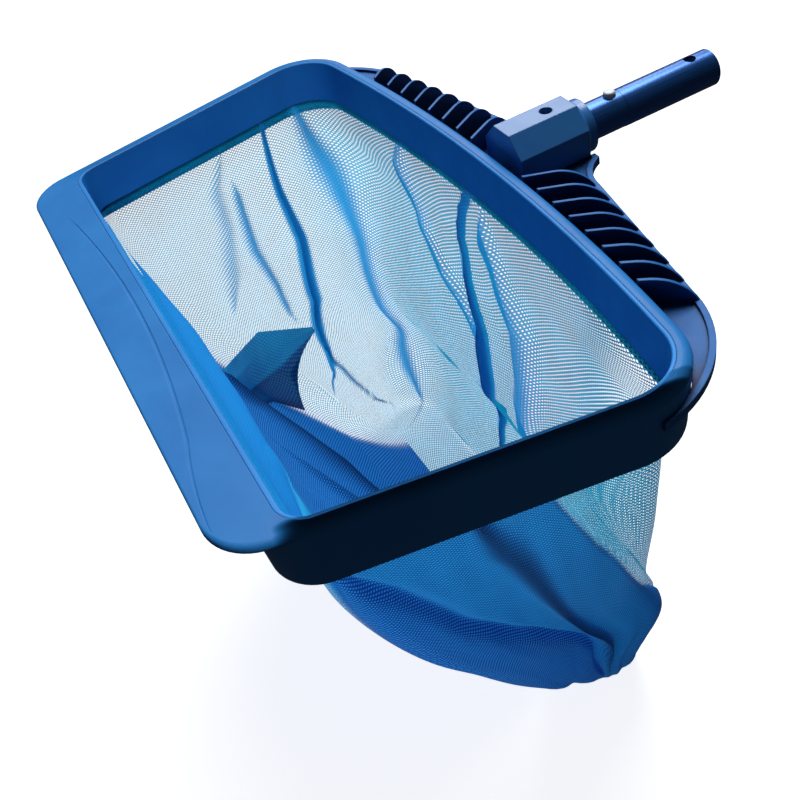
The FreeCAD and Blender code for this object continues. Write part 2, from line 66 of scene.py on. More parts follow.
class Shade:
    """Short calls for building one material's nodes."""

    def __init__(self, name):
        self.mat = bpy.data.materials.new(name)
        self.mat.use_nodes = True
        self.tree = self.mat.node_tree
        self.tree.nodes.clear()
        self.out = self.node("OutputMaterial")

    def node(self, kind, **values):
        made = self.tree.nodes.new("ShaderNode" + kind)
        for key, value in values.items():
            setattr(made, key, value)
        return made

    def link(self, a, b):
        self.tree.links.new(a, b)

    def feed(self, socket, value):
        if isinstance(value, bpy.types.NodeSocket):
            self.link(value, socket)
        else:
            socket.default_value = value

    def math(self, op, a, b=None, c=None, clamp=False):
        made = self.node("Math", operation=op, use_clamp=clamp)
        for socket, value in zip(made.inputs, (a, b, c)):
            if value is not None:
                self.feed(socket, value)
        return made.outputs[0]

    def noise(self, where, scale, detail=3.0, rough=0.5, distortion=0.0):
        made = self.node("TexNoise")
        self.link(where, made.inputs["Vector"])
        made.inputs["Scale"].default_value = scale
        made.inputs["Detail"].default_value = detail
        made.inputs["Roughness"].default_value = rough
        made.inputs["Distortion"].default_value = distortion
        return made.outputs["Fac"]

    def mix(self, fac, a, b, mode="MIX"):
        made = self.node("Mix", data_type="RGBA", blend_type=mode)
        self.feed(made.inputs[0], fac)
        for socket, value in ((made.inputs[6], a), (made.inputs[7], b)):
            self.feed(socket, value if isinstance(value, bpy.types.NodeSocket) else (*value, 1.0))
        return made.outputs[2]

    def tone(self, value):
        """A grey of that value."""
        made = self.node("CombineXYZ")
        for socket in made.inputs:
            self.feed(socket, value)
        return made.outputs[0]

    def remap(self, value, low, high, to_low=0.0, to_high=1.0):
        made = self.node("MapRange", interpolation_type="SMOOTHSTEP")
        self.feed(made.inputs[0], value)
        for socket, number in zip(made.inputs[1:5], (low, high, to_low, to_high)):
            self.feed(socket, number)
        return made.outputs[0]

    def principled(self, **values):
        made = self.node("BsdfPrincipled")
        for key, value in values.items():
            self.feed(made.inputs[key.replace("_", " ")], value)
        return made

    def bump(self, height, strength, distance, normal=None):
        made = self.node("Bump")
        made.inputs["Strength"].default_value = strength
        made.inputs["Distance"].default_value = distance
        self.link(height, made.inputs["Height"])
        if normal is not None:
            self.link(normal, made.inputs["Normal"])
        return made.outputs[0]

    def split(self, vector):
        """The three parts of a vector or a colour."""
        made = self.node("SeparateXYZ")
        self.link(vector, made.inputs[0])
        return made.outputs

    def vector_math(self, op, *vectors):
        made = self.node("VectorMath", operation=op)
        for socket, vector in zip(made.inputs, vectors):
            self.link(vector, socket)
        return made.outputs

    def place(self):
        return self.node("TexCoord").outputs["Object"]


RIM_CROWN = (-15 * MM, -9 * MM)             # where the lean grows, out from the head's side line
RIM_LEAN = (0.5, 4.0)                       # the lean's slope at both ends of that
RIM_START = (-22 * MM, -19 * MM)            # inside this there is no lean
RIM_TOP = (8 * MM, 6 * MM)                  # nor this far below the rim's top
BLADE_END = (28 * MM, 52 * MM)              # nor on the blade, up to here from the leading edge
FLATTER_SIDE = 0.3                          # the side at -x is crowned less


def rolled_normal(s, where, normal):
    """The shading normal on the rim's two long sides: the crown leans outward towards its edge."""
    x, y, z = s.split(where)
    edge = s.math("MULTIPLY_ADD", y, SIDE_SLOPE, FRONT_HALF * MM - SIDE_SLOPE * FRONT_Y)
    gap = s.math("SUBTRACT", s.math("ABSOLUTE", x), edge)
    lean = s.remap(gap, *RIM_CROWN, *RIM_LEAN)
    gates = [
        s.remap(x, -50 * MM, 50 * MM, FLATTER_SIDE, 1.0),
        s.remap(gap, *RIM_START),
        s.remap(z, *(RIM_Z - depth for depth in RIM_TOP)),
        s.remap(y, *(FRONT_Y + depth for depth in BLADE_END)),
        s.remap(s.split(normal)[2], 0.1, 0.4),
    ]
    for gate in gates:
        lean = s.math("MULTIPLY", lean, gate)
    side = s.math("MULTIPLY", s.math("SIGN", x), math.cos(SIDE_TURN))
    out = s.node("CombineXYZ")
    s.feed(out.inputs[0], s.math("MULTIPLY", side, lean))
    s.feed(out.inputs[1], s.math("MULTIPLY", lean, -math.sin(SIDE_TURN)))
    total = s.vector_math("ADD", normal, out.outputs[0])[0]
    return s.vector_math("NORMALIZE", total)[0]


def moulded(name, deep, pale, rough, edge=0.0012, grain=0.02, coat=0.0, edge_light=0.35,
            rolled=False, hollow_shade=None, gloss=0.5):
    """Moulded plastic: flow mottling, a fine spark-eroded grain, and edges paler from wear and painted
    highlight.

    rolled leans the rim's shading normal outward; hollow is painted shade, laid deep between close
    walls.
    """
    s = Shade(name)
    where = s.place()
    flow = s.noise(where, 9.0, 4.0, 0.55, 0.6)
    fine = s.noise(where, 1400.0, 2.0, 0.6)
    scuff = s.noise(where, 75.0, 5.0, 0.7)
    colour = s.mix(s.remap(flow, 0.3, 0.7), deep, pale)
    bevel = s.node("Bevel", samples=4)
    bevel.inputs["Radius"].default_value = edge
    flat = s.node("NewGeometry").outputs["Normal"]
    along_flat = s.vector_math("DOT_PRODUCT", bevel.outputs[0], flat)["Value"]
    # edges turned by the bevel are paler: partly rubbed wear, partly painted highlight
    turn = s.remap(along_flat, 0.995, 0.80)
    wear_and_highlight = s.math("MULTIPLY", turn, s.remap(scuff, 0.25, 0.7, 0.4, 1.0))
    light = tuple(min(1.0, c * 1.5 + 0.05) for c in pale)
    colour = s.mix(s.math("MULTIPLY", wear_and_highlight, edge_light), colour, light)
    if hollow_shade is not None:
        # painted shade: the colour darkens between the fins and in other narrow gaps, by ambient
        # occlusion
        near = s.node("AmbientOcclusion", samples=6)
        near.inputs["Distance"].default_value = 30 * MM
        colour = s.mix(s.remap(near.outputs["AO"], 0.80, 0.42), colour, hollow_shade)
    roughness = s.remap(scuff, 0.25, 0.75, rough - 0.05, rough + 0.07)
    normal = s.bump(fine, grain * 8, 0.06 * MM, bevel.outputs[0])
    if rolled:
        normal = rolled_normal(s, where, normal)
    shader = s.principled(Base_Color=colour, Roughness=roughness, Normal=normal)
    shader.inputs["IOR"].default_value = 1.48
    shader.inputs["Specular IOR Level"].default_value = gloss
    shader.inputs["Coat Weight"].default_value = coat
    shader.inputs["Coat Roughness"].default_value = 0.12
    s.link(shader.outputs[0], s.out.inputs[0])
    return s.mat


def anodised(name):
    """Blue anodised tube: drawing lines along the tube and slight sleeve wear."""
    s = Shade(name)
    where = s.place()
    stretch = s.node("Mapping")
    stretch.inputs["Scale"].default_value = (700.0, 14.0, 700.0)
    s.link(where, stretch.inputs["Vector"])
    lines = s.noise(stretch.outputs[0], 1.0, 4.0, 0.65)
    wear = s.noise(where, 60.0, 4.0, 0.6)
    colour = s.mix(s.remap(lines, 0.3, 0.7), (0.012, 0.085, 0.33), (0.02, 0.125, 0.43))
    colour = s.mix(s.remap(wear, 0.6, 0.8, 0.0, 0.25), colour, (0.08, 0.24, 0.55))
    roughness = s.remap(lines, 0.2, 0.8, 0.24, 0.34)
    shader = s.principled(Base_Color=colour, Roughness=roughness, Normal=s.bump(lines, 0.12, 0.05 * MM))
    shader.inputs["Metallic"].default_value = 0.55
    shader.inputs["Coat Weight"].default_value = 0.08
    shader.inputs["Coat Roughness"].default_value = 0.15
    s.link(shader.outputs[0], s.out.inputs[0])
    return s.mat


def steel(name):
    """Brushed stainless steel, faintly stained."""
    s = Shade(name)
    where = s.place()
    brushed = s.noise(where, 900.0, 3.0, 0.6)
    stain = s.noise(where, 160.0, 4.0, 0.6)
    colour = s.mix(s.remap(stain, 0.35, 0.7), (0.52, 0.53, 0.55), (0.36, 0.37, 0.39))
    roughness = s.remap(brushed, 0.3, 0.7, 0.22, 0.42)
    shader = s.principled(Base_Color=colour, Roughness=roughness)
    shader.inputs["Metallic"].default_value = 1.0
    s.link(shader.outputs[0], s.out.inputs[0])
    return s.mat


THREAD = (0.006, 0.48, 0.74)
THREAD_DEEP = (0.002, 0.075, 0.42)
THREAD_BRIGHT = (0.020, 0.50, 1.0)
THREAD_PAINTED_SHADE = (0.002, 0.018, 0.11)
PAINTED_HOLE_LIGHT = (0.05, 0.42, 0.85)
SLANT = math.radians(33.0)                  # the two thread families' angle to the hem
HOLE_EDGE = 0.35                            # how gradually a hole's edge opens


def knit(name, pitch=2.35 * MM, wander=0.35 * MM):
    """Fine net: two slanted thread families over the sheet's own cut.

    Point attributes: cover, how much of the sheet is thread; tint, how bright; deep, how deep a blue,
    partly painted shade; dark, painted shade in folds; open, how clear of fibres the holes are.
    """
    s = Shade(name)
    parts = s.split(s.node("UVMap").outputs[0])
    where = s.place()
    # the yarn wanders a little, so no two cells are quite alike
    small = s.node("TexNoise")
    small.inputs["Scale"].default_value = 120.0
    small.inputs["Detail"].default_value = 1.0
    s.link(where, small.inputs["Vector"])
    shift = s.split(small.outputs["Color"])
    across, down = (s.math("MULTIPLY_ADD", shift[k], wander, parts[k]) for k in (0, 1))

    def attribute(key):
        return s.node("Attribute", attribute_name=key).outputs["Fac"]

    cover = attribute("cover")
    # a family of lines: the distance to the nearest line, 1 on it and 0 half way between
    gaps = []
    for sign in (1.0, -1.0):
        run = s.math("MULTIPLY", across, sign * math.sin(SLANT) / pitch)
        run = s.math("MULTIPLY_ADD", down, math.cos(SLANT) / pitch, run)
        saw = s.math("FRACT", run)
        gaps.append(s.math("ABSOLUTE", s.math("MULTIPLY_ADD", saw, 2.0, -1.0)))
    nearest = s.math("MAXIMUM", *gaps)
    # a thread's width share that covers as much as asked for: 1 - sqrt(1 - cover)
    share = s.math("SUBTRACT", 1.0, s.math("SQRT", s.math("SUBTRACT", 1.0, cover, clamp=True)))
    low = s.math("MULTIPLY_ADD", share, -1.0 - HOLE_EDGE, 1.0)
    drawn = s.remap(nearest, low, s.math("ADD", low, HOLE_EDGE))
    # the finest fibres fill the holes a little
    fill = s.math("MULTIPLY_ADD", attribute("open"), -0.30, 0.38)
    mask = s.math("MULTIPLY_ADD", fill, s.math("SUBTRACT", cover, drawn), drawn)
    cloud = s.noise(where, 38.0, 4.0, 0.55, 0.4)
    fleck = s.noise(where, 900.0, 2.0, 0.5)
    colour = s.mix(s.remap(cloud, 0.3, 0.7), THREAD, tuple(c * 0.8 for c in THREAD))
    colour = s.mix(attribute("tint"), colour, THREAD_BRIGHT)
    colour = s.mix(attribute("deep"), colour, THREAD_DEEP)
    # painted light: where the cloth is dense, paler spots at the holes' middles stand in for light
    # through them
    painted_hole_light = s.math("MULTIPLY", s.remap(nearest, 0.70, 0.35), s.remap(cover, 0.90, 0.97, 0.0, 0.8))
    colour = s.mix(painted_hole_light, colour, PAINTED_HOLE_LIGHT)
    # painted shade: darker down in folds and where the flap turns under
    colour = s.mix(attribute("painted_shade"), colour, THREAD_PAINTED_SHADE)
    weave = s.remap(nearest, 0.35, 0.95, 0.95, 0.80)
    colour = s.mix(1.0, colour, s.tone(weave), "MULTIPLY")
    colour = s.mix(s.remap(fleck, 0.62, 0.8, 0.0, 0.2), colour, (0.03, 0.36, 0.80))
    raised = s.bump(s.math("MULTIPLY", nearest, mask), 0.5, 0.3 * MM)
    face = s.principled(Base_Color=colour, Roughness=0.6, Normal=raised)
    face.inputs["Sheen Weight"].default_value = 0.02
    face.inputs["Specular IOR Level"].default_value = 0.2
    through = s.node("BsdfTranslucent")
    s.link(colour, through.inputs[0])
    cloth = s.node("MixShader")
    cloth.inputs[0].default_value = 0.45
    s.link(face.outputs[0], cloth.inputs[1])
    s.link(through.outputs[0], cloth.inputs[2])
    hole = s.node("BsdfTransparent")
    final = s.node("MixShader")
    s.link(mask, final.inputs[0])
    s.link(hole.outputs[0], final.inputs[1])
    s.link(cloth.outputs[0], final.inputs[2])
    s.link(final.outputs[0], s.out.inputs[0])
    return s.mat


# ---- net bag: one sheet, from its hem to its bottom seam ----

RING_PARTS = (42, 10, 56, 12, 42)           # points on half a ring: front, corner, side, corner, rear


def rear_corner_centre():
    """Centre of the head's rear corner arc, in its plan."""
    a = FRONT_HALF - REAR_CORNER / math.cos(SIDE_TURN)
    yo = FRAME_DEPTH - REAR_BOW
    r = REAR_BOW - REAR_CORNER
    qa = SIDE_SLOPE ** 2 + 1
    qb = 2 * (a * SIDE_SLOPE - yo)
    qc = a * a + yo * yo - r * r
    y = (-qb + math.sqrt(qb * qb - 4 * qa * qc)) / (2 * qa)
    return a + SIDE_SLOPE * y, y


def half_ring(front_end, front_centre, r_front, rear_centre, r_rear, rear, phi, front_bow=0.0):
    """A ring in its plan, from the front's middle round to the right, the rear and the left."""
    front, corner, side, back, bow = RING_PARTS
    edge_y = front_centre[1] - r_front
    pts = [(front_end * k / front, edge_y + front_bow * (1 - (k / front) ** BOW_POWER))
           for k in range(front)]
    for k in range(corner):
        t = -math.pi / 2 + (math.pi / 2 - phi) * k / corner
        pts.append((front_centre[0] + r_front * math.cos(t), front_centre[1] + r_front * math.sin(t)))
    ca, sa = math.cos(phi), -math.sin(phi)
    a = (front_centre[0] + r_front * ca, front_centre[1] + r_front * sa)
    b = (rear_centre[0] + r_rear * ca, rear_centre[1] + r_rear * sa)
    pts += [(a[0] + (b[0] - a[0]) * k / side, a[1] + (b[1] - a[1]) * k / side) for k in range(side)]
    end = rear(1.0)
    last = math.atan2(end[1] - rear_centre[1], end[0] - rear_centre[0])
    for k in range(back):
        t = -phi + (last + phi) * k / back
        pts.append((rear_centre[0] + r_rear * math.cos(t), rear_centre[1] + r_rear * math.sin(t)))
    pts += [rear(1 - k / bow) for k in range(bow + 1)]
    left = [(-x, y) for x, y in pts[1:-1]][::-1]
    return np.array(pts + left)


def mouth_ring(inset, front_y, corner, z):
    """The head's plan set in by inset, as a level ring; its front is at front_y."""
    cy = front_y + corner
    cx = FRONT_HALF + SIDE_SLOPE * cy - (inset + corner) / math.cos(SIDE_TURN)
    rx, ry = rear_corner_centre()
    yo = FRAME_DEPTH - REAR_BOW
    a = math.atan2(ry - yo, rx)

    def rear(t):
        turn = a + (math.pi / 2 - a) * (1 - t)
        return (REAR_BOW - inset) * math.cos(turn), yo + (REAR_BOW - inset) * math.sin(turn)

    flat = half_ring(cx, (cx, cy), corner, (rx, ry), REAR_CORNER - inset, rear, SIDE_TURN)
    return np.c_[flat, np.full(len(flat), z)]


def bag_ring(half_front, half_rear, y0, y1, r, r_rear, z, lean, front_bow):
    """One level of the bag, tipped about the x axis by lean degrees."""
    half_front, half_rear = half_front - CLOTH_IN, half_rear - CLOTH_IN
    r, r_rear = r - CLOTH_IN, r_rear - CLOTH_IN
    y0, y1 = y0 + CLOTH_IN, y1 - CLOTH_IN
    slope = (half_rear - half_front) / (y1 - y0)
    phi = math.atan(slope)
    fx = half_front + slope * r - r / math.cos(phi)
    ry = y1 - r_rear
    rx = half_front + slope * (ry - y0) - r_rear / math.cos(phi)

    def rear(t):
        return rx * t, y1 + REAR_WALL_BOW * (1 - t * t)

    flat = half_ring(fx, (fx, y0 + r), r, (rx, ry), r_rear, rear, phi, front_bow)
    mid = (y0 + y1) / 2
    turn = math.radians(-lean)
    dy = flat[:, 1] - mid
    return np.c_[flat[:, 0], mid + dy * math.cos(turn), z + dy * math.sin(turn)]


# the hem's turn over the shelf and the neck under it, mm: inset, front, corner radius, height
HEM_RINGS = [(10.4, 39.4, 17.2, -35.0), (14.6, 43.2, 13.2, -35.0), (16.4, 44.9, 11.6, -36.4)]
NECK_RINGS = [(16.9, 45.4, 11.1, -42.5)]
# the bag's levels, mm: half width in front and behind, front, rear, corner radius in front and
# behind, height, lean, front bow
BAG_LEVELS = [
    (211, 244, 47, 279, 20, 44, -88, 3, 15),
    (209, 236, 52, 274, 26, 34, -135, 8, 13),
    (205, 222, 84, 273, 30, 26, -226, 12, 4),
    (204, 218, 110, 291, 34, 28, -270, 13, 0),
    (201, 212, 140, 290, 34, 42, -318, 15, 0),
    (189, 198, 172, 277, 24, 26, -359, 16, 0),
]
BOW_POWER, REAR_WALL_BOW = 2.6, 3.0
CLOTH_IN = 0.9                              # the cloth lies in the middle of its CAD wall
BOTTOM_DROP = 7.0                           # the sewn bottom hangs a little below its edge, mm
BOTTOM_RUN = 52.0                           # from the bottom's edge in to its seam, mm
SEAM_DRAW = 0.16                            # share of its width that the bottom loses by its seam
WALL_ROWS, BOTTOM_ROWS = 122, 16


def wall_levels():
    """The bag's levels, and how far down each one lies, 0 at the hem and 1 at the bottom's edge."""
    rings = [mouth_ring(*r) for r in HEM_RINGS + NECK_RINGS] + [bag_ring(*r) for r in BAG_LEVELS]
    rings = np.array(rings)
    steps = [np.linalg.norm(b - a, axis=1).mean() for a, b in zip(rings, rings[1:])]
    down = np.r_[0.0, np.cumsum(steps)]
    return rings, down


def smooth_between(rings, down, where):
    """Rings at the given depths, on a smooth curve through the levels."""
    tangent = np.zeros_like(rings)
    slope = (rings[1:] - rings[:-1]) / np.diff(down)[:, None, None]
    tangent[0], tangent[-1] = slope[0], slope[-1]
    gap = np.diff(down)
    for i in range(1, len(rings) - 1):
        tangent[i] = (slope[i] * gap[i - 1] + slope[i - 1] * gap[i]) / (gap[i] + gap[i - 1])
    made = []
    for depth in where:
        i = min(len(down) - 2, int(np.searchsorted(down, depth, side="right") - 1))
        h = gap[i]
        q = (depth - down[i]) / h
        made.append((2 * q ** 3 - 3 * q ** 2 + 1) * rings[i]
                    + (q ** 3 - 2 * q ** 2 + q) * h * tangent[i]
                    + (3 * q ** 2 - 2 * q ** 3) * rings[i + 1]
                    + (q ** 3 - q ** 2) * h * tangent[i + 1])
    return np.array(made)


def bottom_rings(edge):
    """From the bottom's edge in to a flat seam along x."""
    centre = edge.mean(0)
    made = []
    for k in range(1, BOTTOM_ROWS + 1):
        t = k / BOTTOM_ROWS
        ease = math.sin(t * math.pi / 2)
        ring = edge.copy()
        ring[:, 0] *= 1 - SEAM_DRAW * ease
        ring[:, 1:] = centre[1:] + (edge[:, 1:] - centre[1:]) * (1 - t)
        ring[:, 2] -= BOTTOM_DROP * ease
        made.append(ring)
    return np.array(made)


# Folds, from the front's middle round to the right (near side), the rear and the left (far side).
# path: (depth share, place round the ring, 0 to 1). wide: (depth share, half width in mm).
# pleat: the sheet doubles back over itself; ridge: it only stands up, by lift mm.
# mark: how much denser and brighter it looks; dark: its painted shade; free: the columns don't follow
# it.
FOLDS = [
    dict(name="near_low", kind="ridge", lift=8.0,
         path=[(0, .150), (.144, .154), (.26, .176), (.45, .198), (.64, .244), (.78, .270), (1, .276)],
         wide=[(0, 0), (.05, 9), (.6, 14), (.9, 8), (1, 0)]),
    dict(name="near_swirl", kind="ridge", lift=-8.0, painted_shade=0.80,
         path=[(0, .235), (.2, .247), (.27, .254), (.40, .262), (.57, .275), (.81, .283), (1, .295)],
         wide=[(0, 0), (.12, 8), (.22, 15), (.35, 13), (.5, 7), (.8, 5), (.95, 0), (1, 0)]),
    dict(name="near_edge", kind="ridge", lift=3.0,
         path=[(0, .285), (.12, .290), (.31, .312), (.43, .333), (.75, .377), (1, .390)],
         wide=[(0, 3), (.5, 5), (1, 0)]),
    dict(name="rear_right", kind="ridge", lift=10.0, mark=.92,
         path=[(0, .500), (.10, .497), (.18, .485), (.24, .470), (.345, .466), (.49, .463), (1, .46)],
         wide=[(0, 0), (.08, 6), (.2, 13), (.4, 12), (.55, 0), (1, 0)]),
    dict(name="rear_main", kind="pleat", lift=2.5, mark=.95,
         path=[(0, .512), (.036, .515), (.165, .534), (.25, .531),
               (.345, .515), (.49, .512), (.82, .543), (1, .54)],
         wide=[(0, 4.0), (.08, 3.2), (.2, 3.2), (.3, 5.5), (.4, 8.5), (.6, 8.5), (.85, 3.0), (1, 0)]),
    dict(name="rear_second", kind="ridge", lift=7.0, mark=.9, free=True,
         path=[(0, .572), (.13, .577), (.21, .574), (.26, .556), (.31, .540), (.36, .530), (1, .53)],
         wide=[(0, 3), (.1, 9), (.2, 9), (.3, 7), (.36, 4), (.42, 0), (1, 0)]),
    dict(name="corner_soft", kind="ridge", lift=10.0, mark=.95,
         path=[(0, .662), (.12, .658), (.24, .654), (.37, .648),
               (.54, .648), (.77, .657), (.96, .648), (1, .645)],
         wide=[(0, 3), (.05, 7), (.15, 11), (.5, 12), (.8, 8), (.97, 4), (1, 2)]),
    dict(name="low_left", kind="ridge", lift=7.0, mark=.9, free=True,
         path=[(0, .76), (.70, .766), (.777, .770), (.87, .762), (.96, .745), (1, .70)],
         wide=[(0, 0), (.68, 0), (.76, 4), (.85, 8), (.95, 7), (1, 3)]),
    dict(name="far_main", kind="pleat", lift=2.4, mark=1.0,
         path=[(0, .692), (.03, .694), (.19, .701), (.33, .704), (.525, .722),
               (.68, .762), (.82, .787), (.92, .84), (1, .86)],
         wide=[(0, 1.4), (.05, 1.8), (.15, 3.0), (.3, 5.0), (.5, 6.5),
               (.62, 6.0), (.8, 3), (.92, 0), (1, 0)]),
    dict(name="far_fine", kind="ridge", lift=5.5, mark=.9, free=True,
         path=[(0, .71), (.10, .737), (.19, .744), (.31, .753),
               (.43, .753), (.59, .765), (.75, .80), (1, .87)],
         wide=[(0, 0), (.09, 0), (.15, 5), (.3, 7), (.5, 5), (.6, 0), (1, 0)]),
    dict(name="far_edge", kind="ridge", lift=6.0, mark=.45, free=True,
         path=[(0, .73), (.05, .742), (.11, .756), (.22, .765),
               (.37, .790), (.50, .821), (.7, .85), (1, .90)],
         wide=[(0, 0), (.04, 3), (.1, 7), (.2, 9), (.35, 11), (.5, 0), (1, 0)]),
    dict(name="front_dark", kind="ridge", lift=7.0, painted_shade=0.9,
         path=[(0, .915), (.45, .918), (.60, .922), (.72, .930), (.84, .945), (.92, .965), (1, .985)],
         wide=[(0, 0), (.40, 0), (.5, 9), (.7, 15), (.9, 15), (1, 9)]),
    dict(name="front_second", kind="ridge", lift=5.0, painted_shade=0.5, free=True,
         path=[(0, .955), (.45, .960), (.7, .975), (.9, .990), (1, .995)],
         wide=[(0, 0), (.5, 0), (.62, 4), (.8, 7), (1, 5)]),
]
FINE_STEP, WIDE_STEP = 0.9, 3.3             # columns' spacing at a fold's middle and elsewhere, mm
FOLD_REACH = 8.0                            # a pleat draws cloth from this many half widths
TANGENT_STEP = 0.0015                       # share of the ring to each side, for its direction
NET_COVER = 0.62                            # share of the plain net that is thread


def fold(name):
    """The fold of that name."""
    return next(f for f in FOLDS if f["name"] == name)


def along(points, where):
    """The value at a place on a line of (place, value) points."""
    xs, ys = zip(*points)
    return np.interp(where, xs, ys)


def round_length(ring):
    return np.linalg.norm(np.roll(ring, -1, axis=0) - ring, axis=1).sum()


def columns(length):
    """Places of the sheet's columns round the mouth, closer together at the folds."""
    centres = [along(f["path"], 0.0) * length for f in FOLDS if not f.get("free")]
    x, made = 0.0, []
    while x < length - FINE_STEP:
        made.append(x / length)
        gap = min(abs(x - c) for c in centres)
        x += min(WIDE_STEP, FINE_STEP + max(0.0, gap - 9.0) * 0.12)
    return np.array(made)


def sample(base, u, row):
    """Points of the base rings at places u, 0 to 1 round, on one row, on a smooth curve."""
    count = base.shape[1]
    x = (u % 1.0) * count
    i = np.floor(x).astype(int)
    t = (x - i)[:, None]
    p0, p1, p2, p3 = (base[row, (i + k) % count] for k in (-1, 0, 1, 2))
    return 0.5 * (2 * p1 + (p2 - p0) * t + (2 * p0 - 5 * p1 + 4 * p2 - p3) * t ** 2
                  + (3 * p1 - p0 - 3 * p2 + p3) * t ** 3)


def doubled(t):
    """A Z-fold's in-sheet place for place t, in half widths, and its height, -1 to 1."""
    place = np.interp(t, [-FOLD_REACH, -1, 1, FOLD_REACH], [-FOLD_REACH, 1, -1, FOLD_REACH])
    height = np.interp(t, [-FOLD_REACH, -3.0, -1, 1, 3.0, FOLD_REACH], [0, 0.15, 1, -1, -0.15, 0])
    return place, height


BAND_INSET = 2.4                            # the strip's distance in from the wall's middle, mm


def front_band(material):
    """The doubled strip, lying on the front wall's inner side."""
    low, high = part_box("front_band")
    rows, cols = 26, 150
    rings, down = wall_levels()
    half = (high[0] - low[0]) / 2 / MM
    top_z, low_z = (high[2] - RIM_Z) / MM, (low[2] - RIM_Z) / MM
    depths = np.linspace(down[3] * 0.9, down[5], 90)
    wall = smooth_between(rings, down, depths)
    count = wall.shape[1]
    front = RING_PARTS[0]
    order = np.r_[count - front:count, 0:front + 1]
    strip = wall[:, order]
    points = np.zeros((rows, cols, 3))
    for c, x in enumerate(np.linspace(-half, half, cols)):
        line = np.array([[np.interp(x, row[:, 0], row[:, 1]), np.interp(x, row[:, 0], row[:, 2])]
                         for row in strip])
        for r in range(rows):
            t = r / (rows - 1)
            z = top_z + (low_z - top_z) * t
            y = np.interp(-z, -line[:, 1], line[:, 0])
            wave = 1.8 * t * noise.noise(Vector((x * 0.022, t * 1.5, 3.1)))
            points[r, c] = (x, y + BAND_INSET + max(wave, -0.8), z - 1.2 * t * wave)
    wide = high[0] - low[0]
    span = np.linalg.norm(np.diff(points[:, cols // 2], axis=0), axis=1).sum() * MM
    cut = np.zeros((rows, cols, 2))
    cut[:, :, 0] = np.linspace(0, wide, cols)
    cut[:, :, 1] = np.linspace(0, span, rows)[:, None]
    ones = np.ones((rows, cols))
    layers = dict(cover=ones, tint=ones, deep=ones * 0, painted_shade=ones * 0, open=ones * 0)
    piece = sheet_mesh("front_band_cloth", points, cut, layers, False)
    piece.data.materials.append(material)
    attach(piece, "head")
    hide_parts("front_band")
    return piece


def build_bag():
    """The bag's sheet: its points, its cut, its look and its length round the hem."""
    rings, down = wall_levels()
    rows_at = np.linspace(0, down[-1], WALL_ROWS)
    wall = smooth_between(rings, down, rows_at)
    base = np.concatenate([wall, bottom_rings(wall[-1])])
    rows = len(base)
    length = round_length(mouth_ring(*HEM_RINGS[-1]))
    cols = columns(length)
    depth = np.r_[rows_at / down[-1], 1 + np.arange(1, BOTTOM_ROWS + 1) / BOTTOM_ROWS]
    order = sorted(FOLDS, key=lambda f: along(f["path"], 0.0))
    guides = [f for f in order if not f.get("free")]
    knots = np.r_[0.0, [along(f["path"], 0.0) for f in guides], 1.0]
    points = np.zeros((rows, len(cols), 3))
    cover, tint, deep, painted_shade, clear = np.zeros((5, rows, len(cols)))
    cut = np.zeros((rows, len(cols) + 1, 2))
    for r in range(rows):
        v = min(depth[r], 1.0)
        targets = np.r_[0.0, [along(f["path"], v) for f in guides], 1.0]
        smooth_u = np.interp(cols, knots, targets)
        u = smooth_u.copy()
        lift = np.zeros(len(cols))
        mark = np.zeros(len(cols))
        shade = np.zeros(len(cols))
        fade = 1.0 if depth[r] <= 1 else max(0.0, 2 - depth[r])
        for f in order:
            w = along(f["wide"], v) * fade
            if w < 0.3:
                continue
            middle = along(f["path"], v)
            t = (smooth_u - middle) * length / w
            if f["kind"] == "pleat":
                inside = np.abs(t) < FOLD_REACH
                place, height = doubled(t)
                u[inside] = middle + place[inside] * w / length
                lift += np.where(inside, height, 0) * f["lift"] * min(1.0, w / 3.0)
                mark = np.maximum(mark, f.get("mark", 0) * np.clip(2.2 - np.abs(place), 0, 1))
            else:
                rise = min(1.0, w / 6.0)
                lift += f["lift"] * bell(t, 1.0) * rise
                mark = np.maximum(mark, f.get("mark", 0) * bell(t, 0.95) * min(1.0, w / 4.0))
                # painted shade down in the fold
                shade = np.maximum(shade, f.get("painted_shade", 0) * bell(t, 0.85) * rise)
        p = sample(base, u, r)
        tangent = sample(base, u + TANGENT_STEP, r) - sample(base, u - TANGENT_STEP, r)
        up = base[min(r + 1, rows - 1)] - base[max(r - 1, 0)]
        fall = sample(up[None], u, 0)
        normal = np.cross(tangent, fall)
        normal /= np.maximum(np.linalg.norm(normal, axis=1), 1e-9)[:, None]
        free = np.clip((v - 0.06) / 0.12, 0, 1)
        wave = np.array([crumple(a, v) for a in u])
        shift = lift * np.clip(v / 0.06, 0, 1) + wave * free * fade
        points[r] = p + normal * shift[:, None]
        cover[r], tint[r], deep[r], clear[r] = cloth_look(u, depth[r], mark)
        painted_shade[r] = shade
        cut[r, :-1, 0] = smooth_u * length * MM
        cut[r, -1, 0] = length * MM
    run = np.minimum(depth, 1) * down[-1] + np.maximum(depth - 1, 0) * BOTTOM_RUN
    cut[:, :, 1] = run[:, None] * MM
    return points, cut, dict(cover=cover, tint=tint, deep=deep, painted_shade=painted_shade, open=clear), length


def bell(t, width):
    return np.exp(-(t / width) ** 2)


def crumple(u, v):
    """Small waves in the hanging cloth, mostly running down it, in mm."""
    angle = u * math.tau
    p = Vector((math.cos(angle) * 2.6, math.sin(angle) * 2.6, v * 1.6))
    q = Vector((math.cos(angle) * 8.0, math.sin(angle) * 8.0, v * 3.5 + 5))
    return 4.5 * noise.noise(p) + 2.2 * noise.noise(q)


def step_up(x, low, high):
    """A smooth step from 0 at low to 1 at high."""
    t = np.clip((x - low) / (high - low), 0, 1)
    return t * t * (3 - 2 * t)


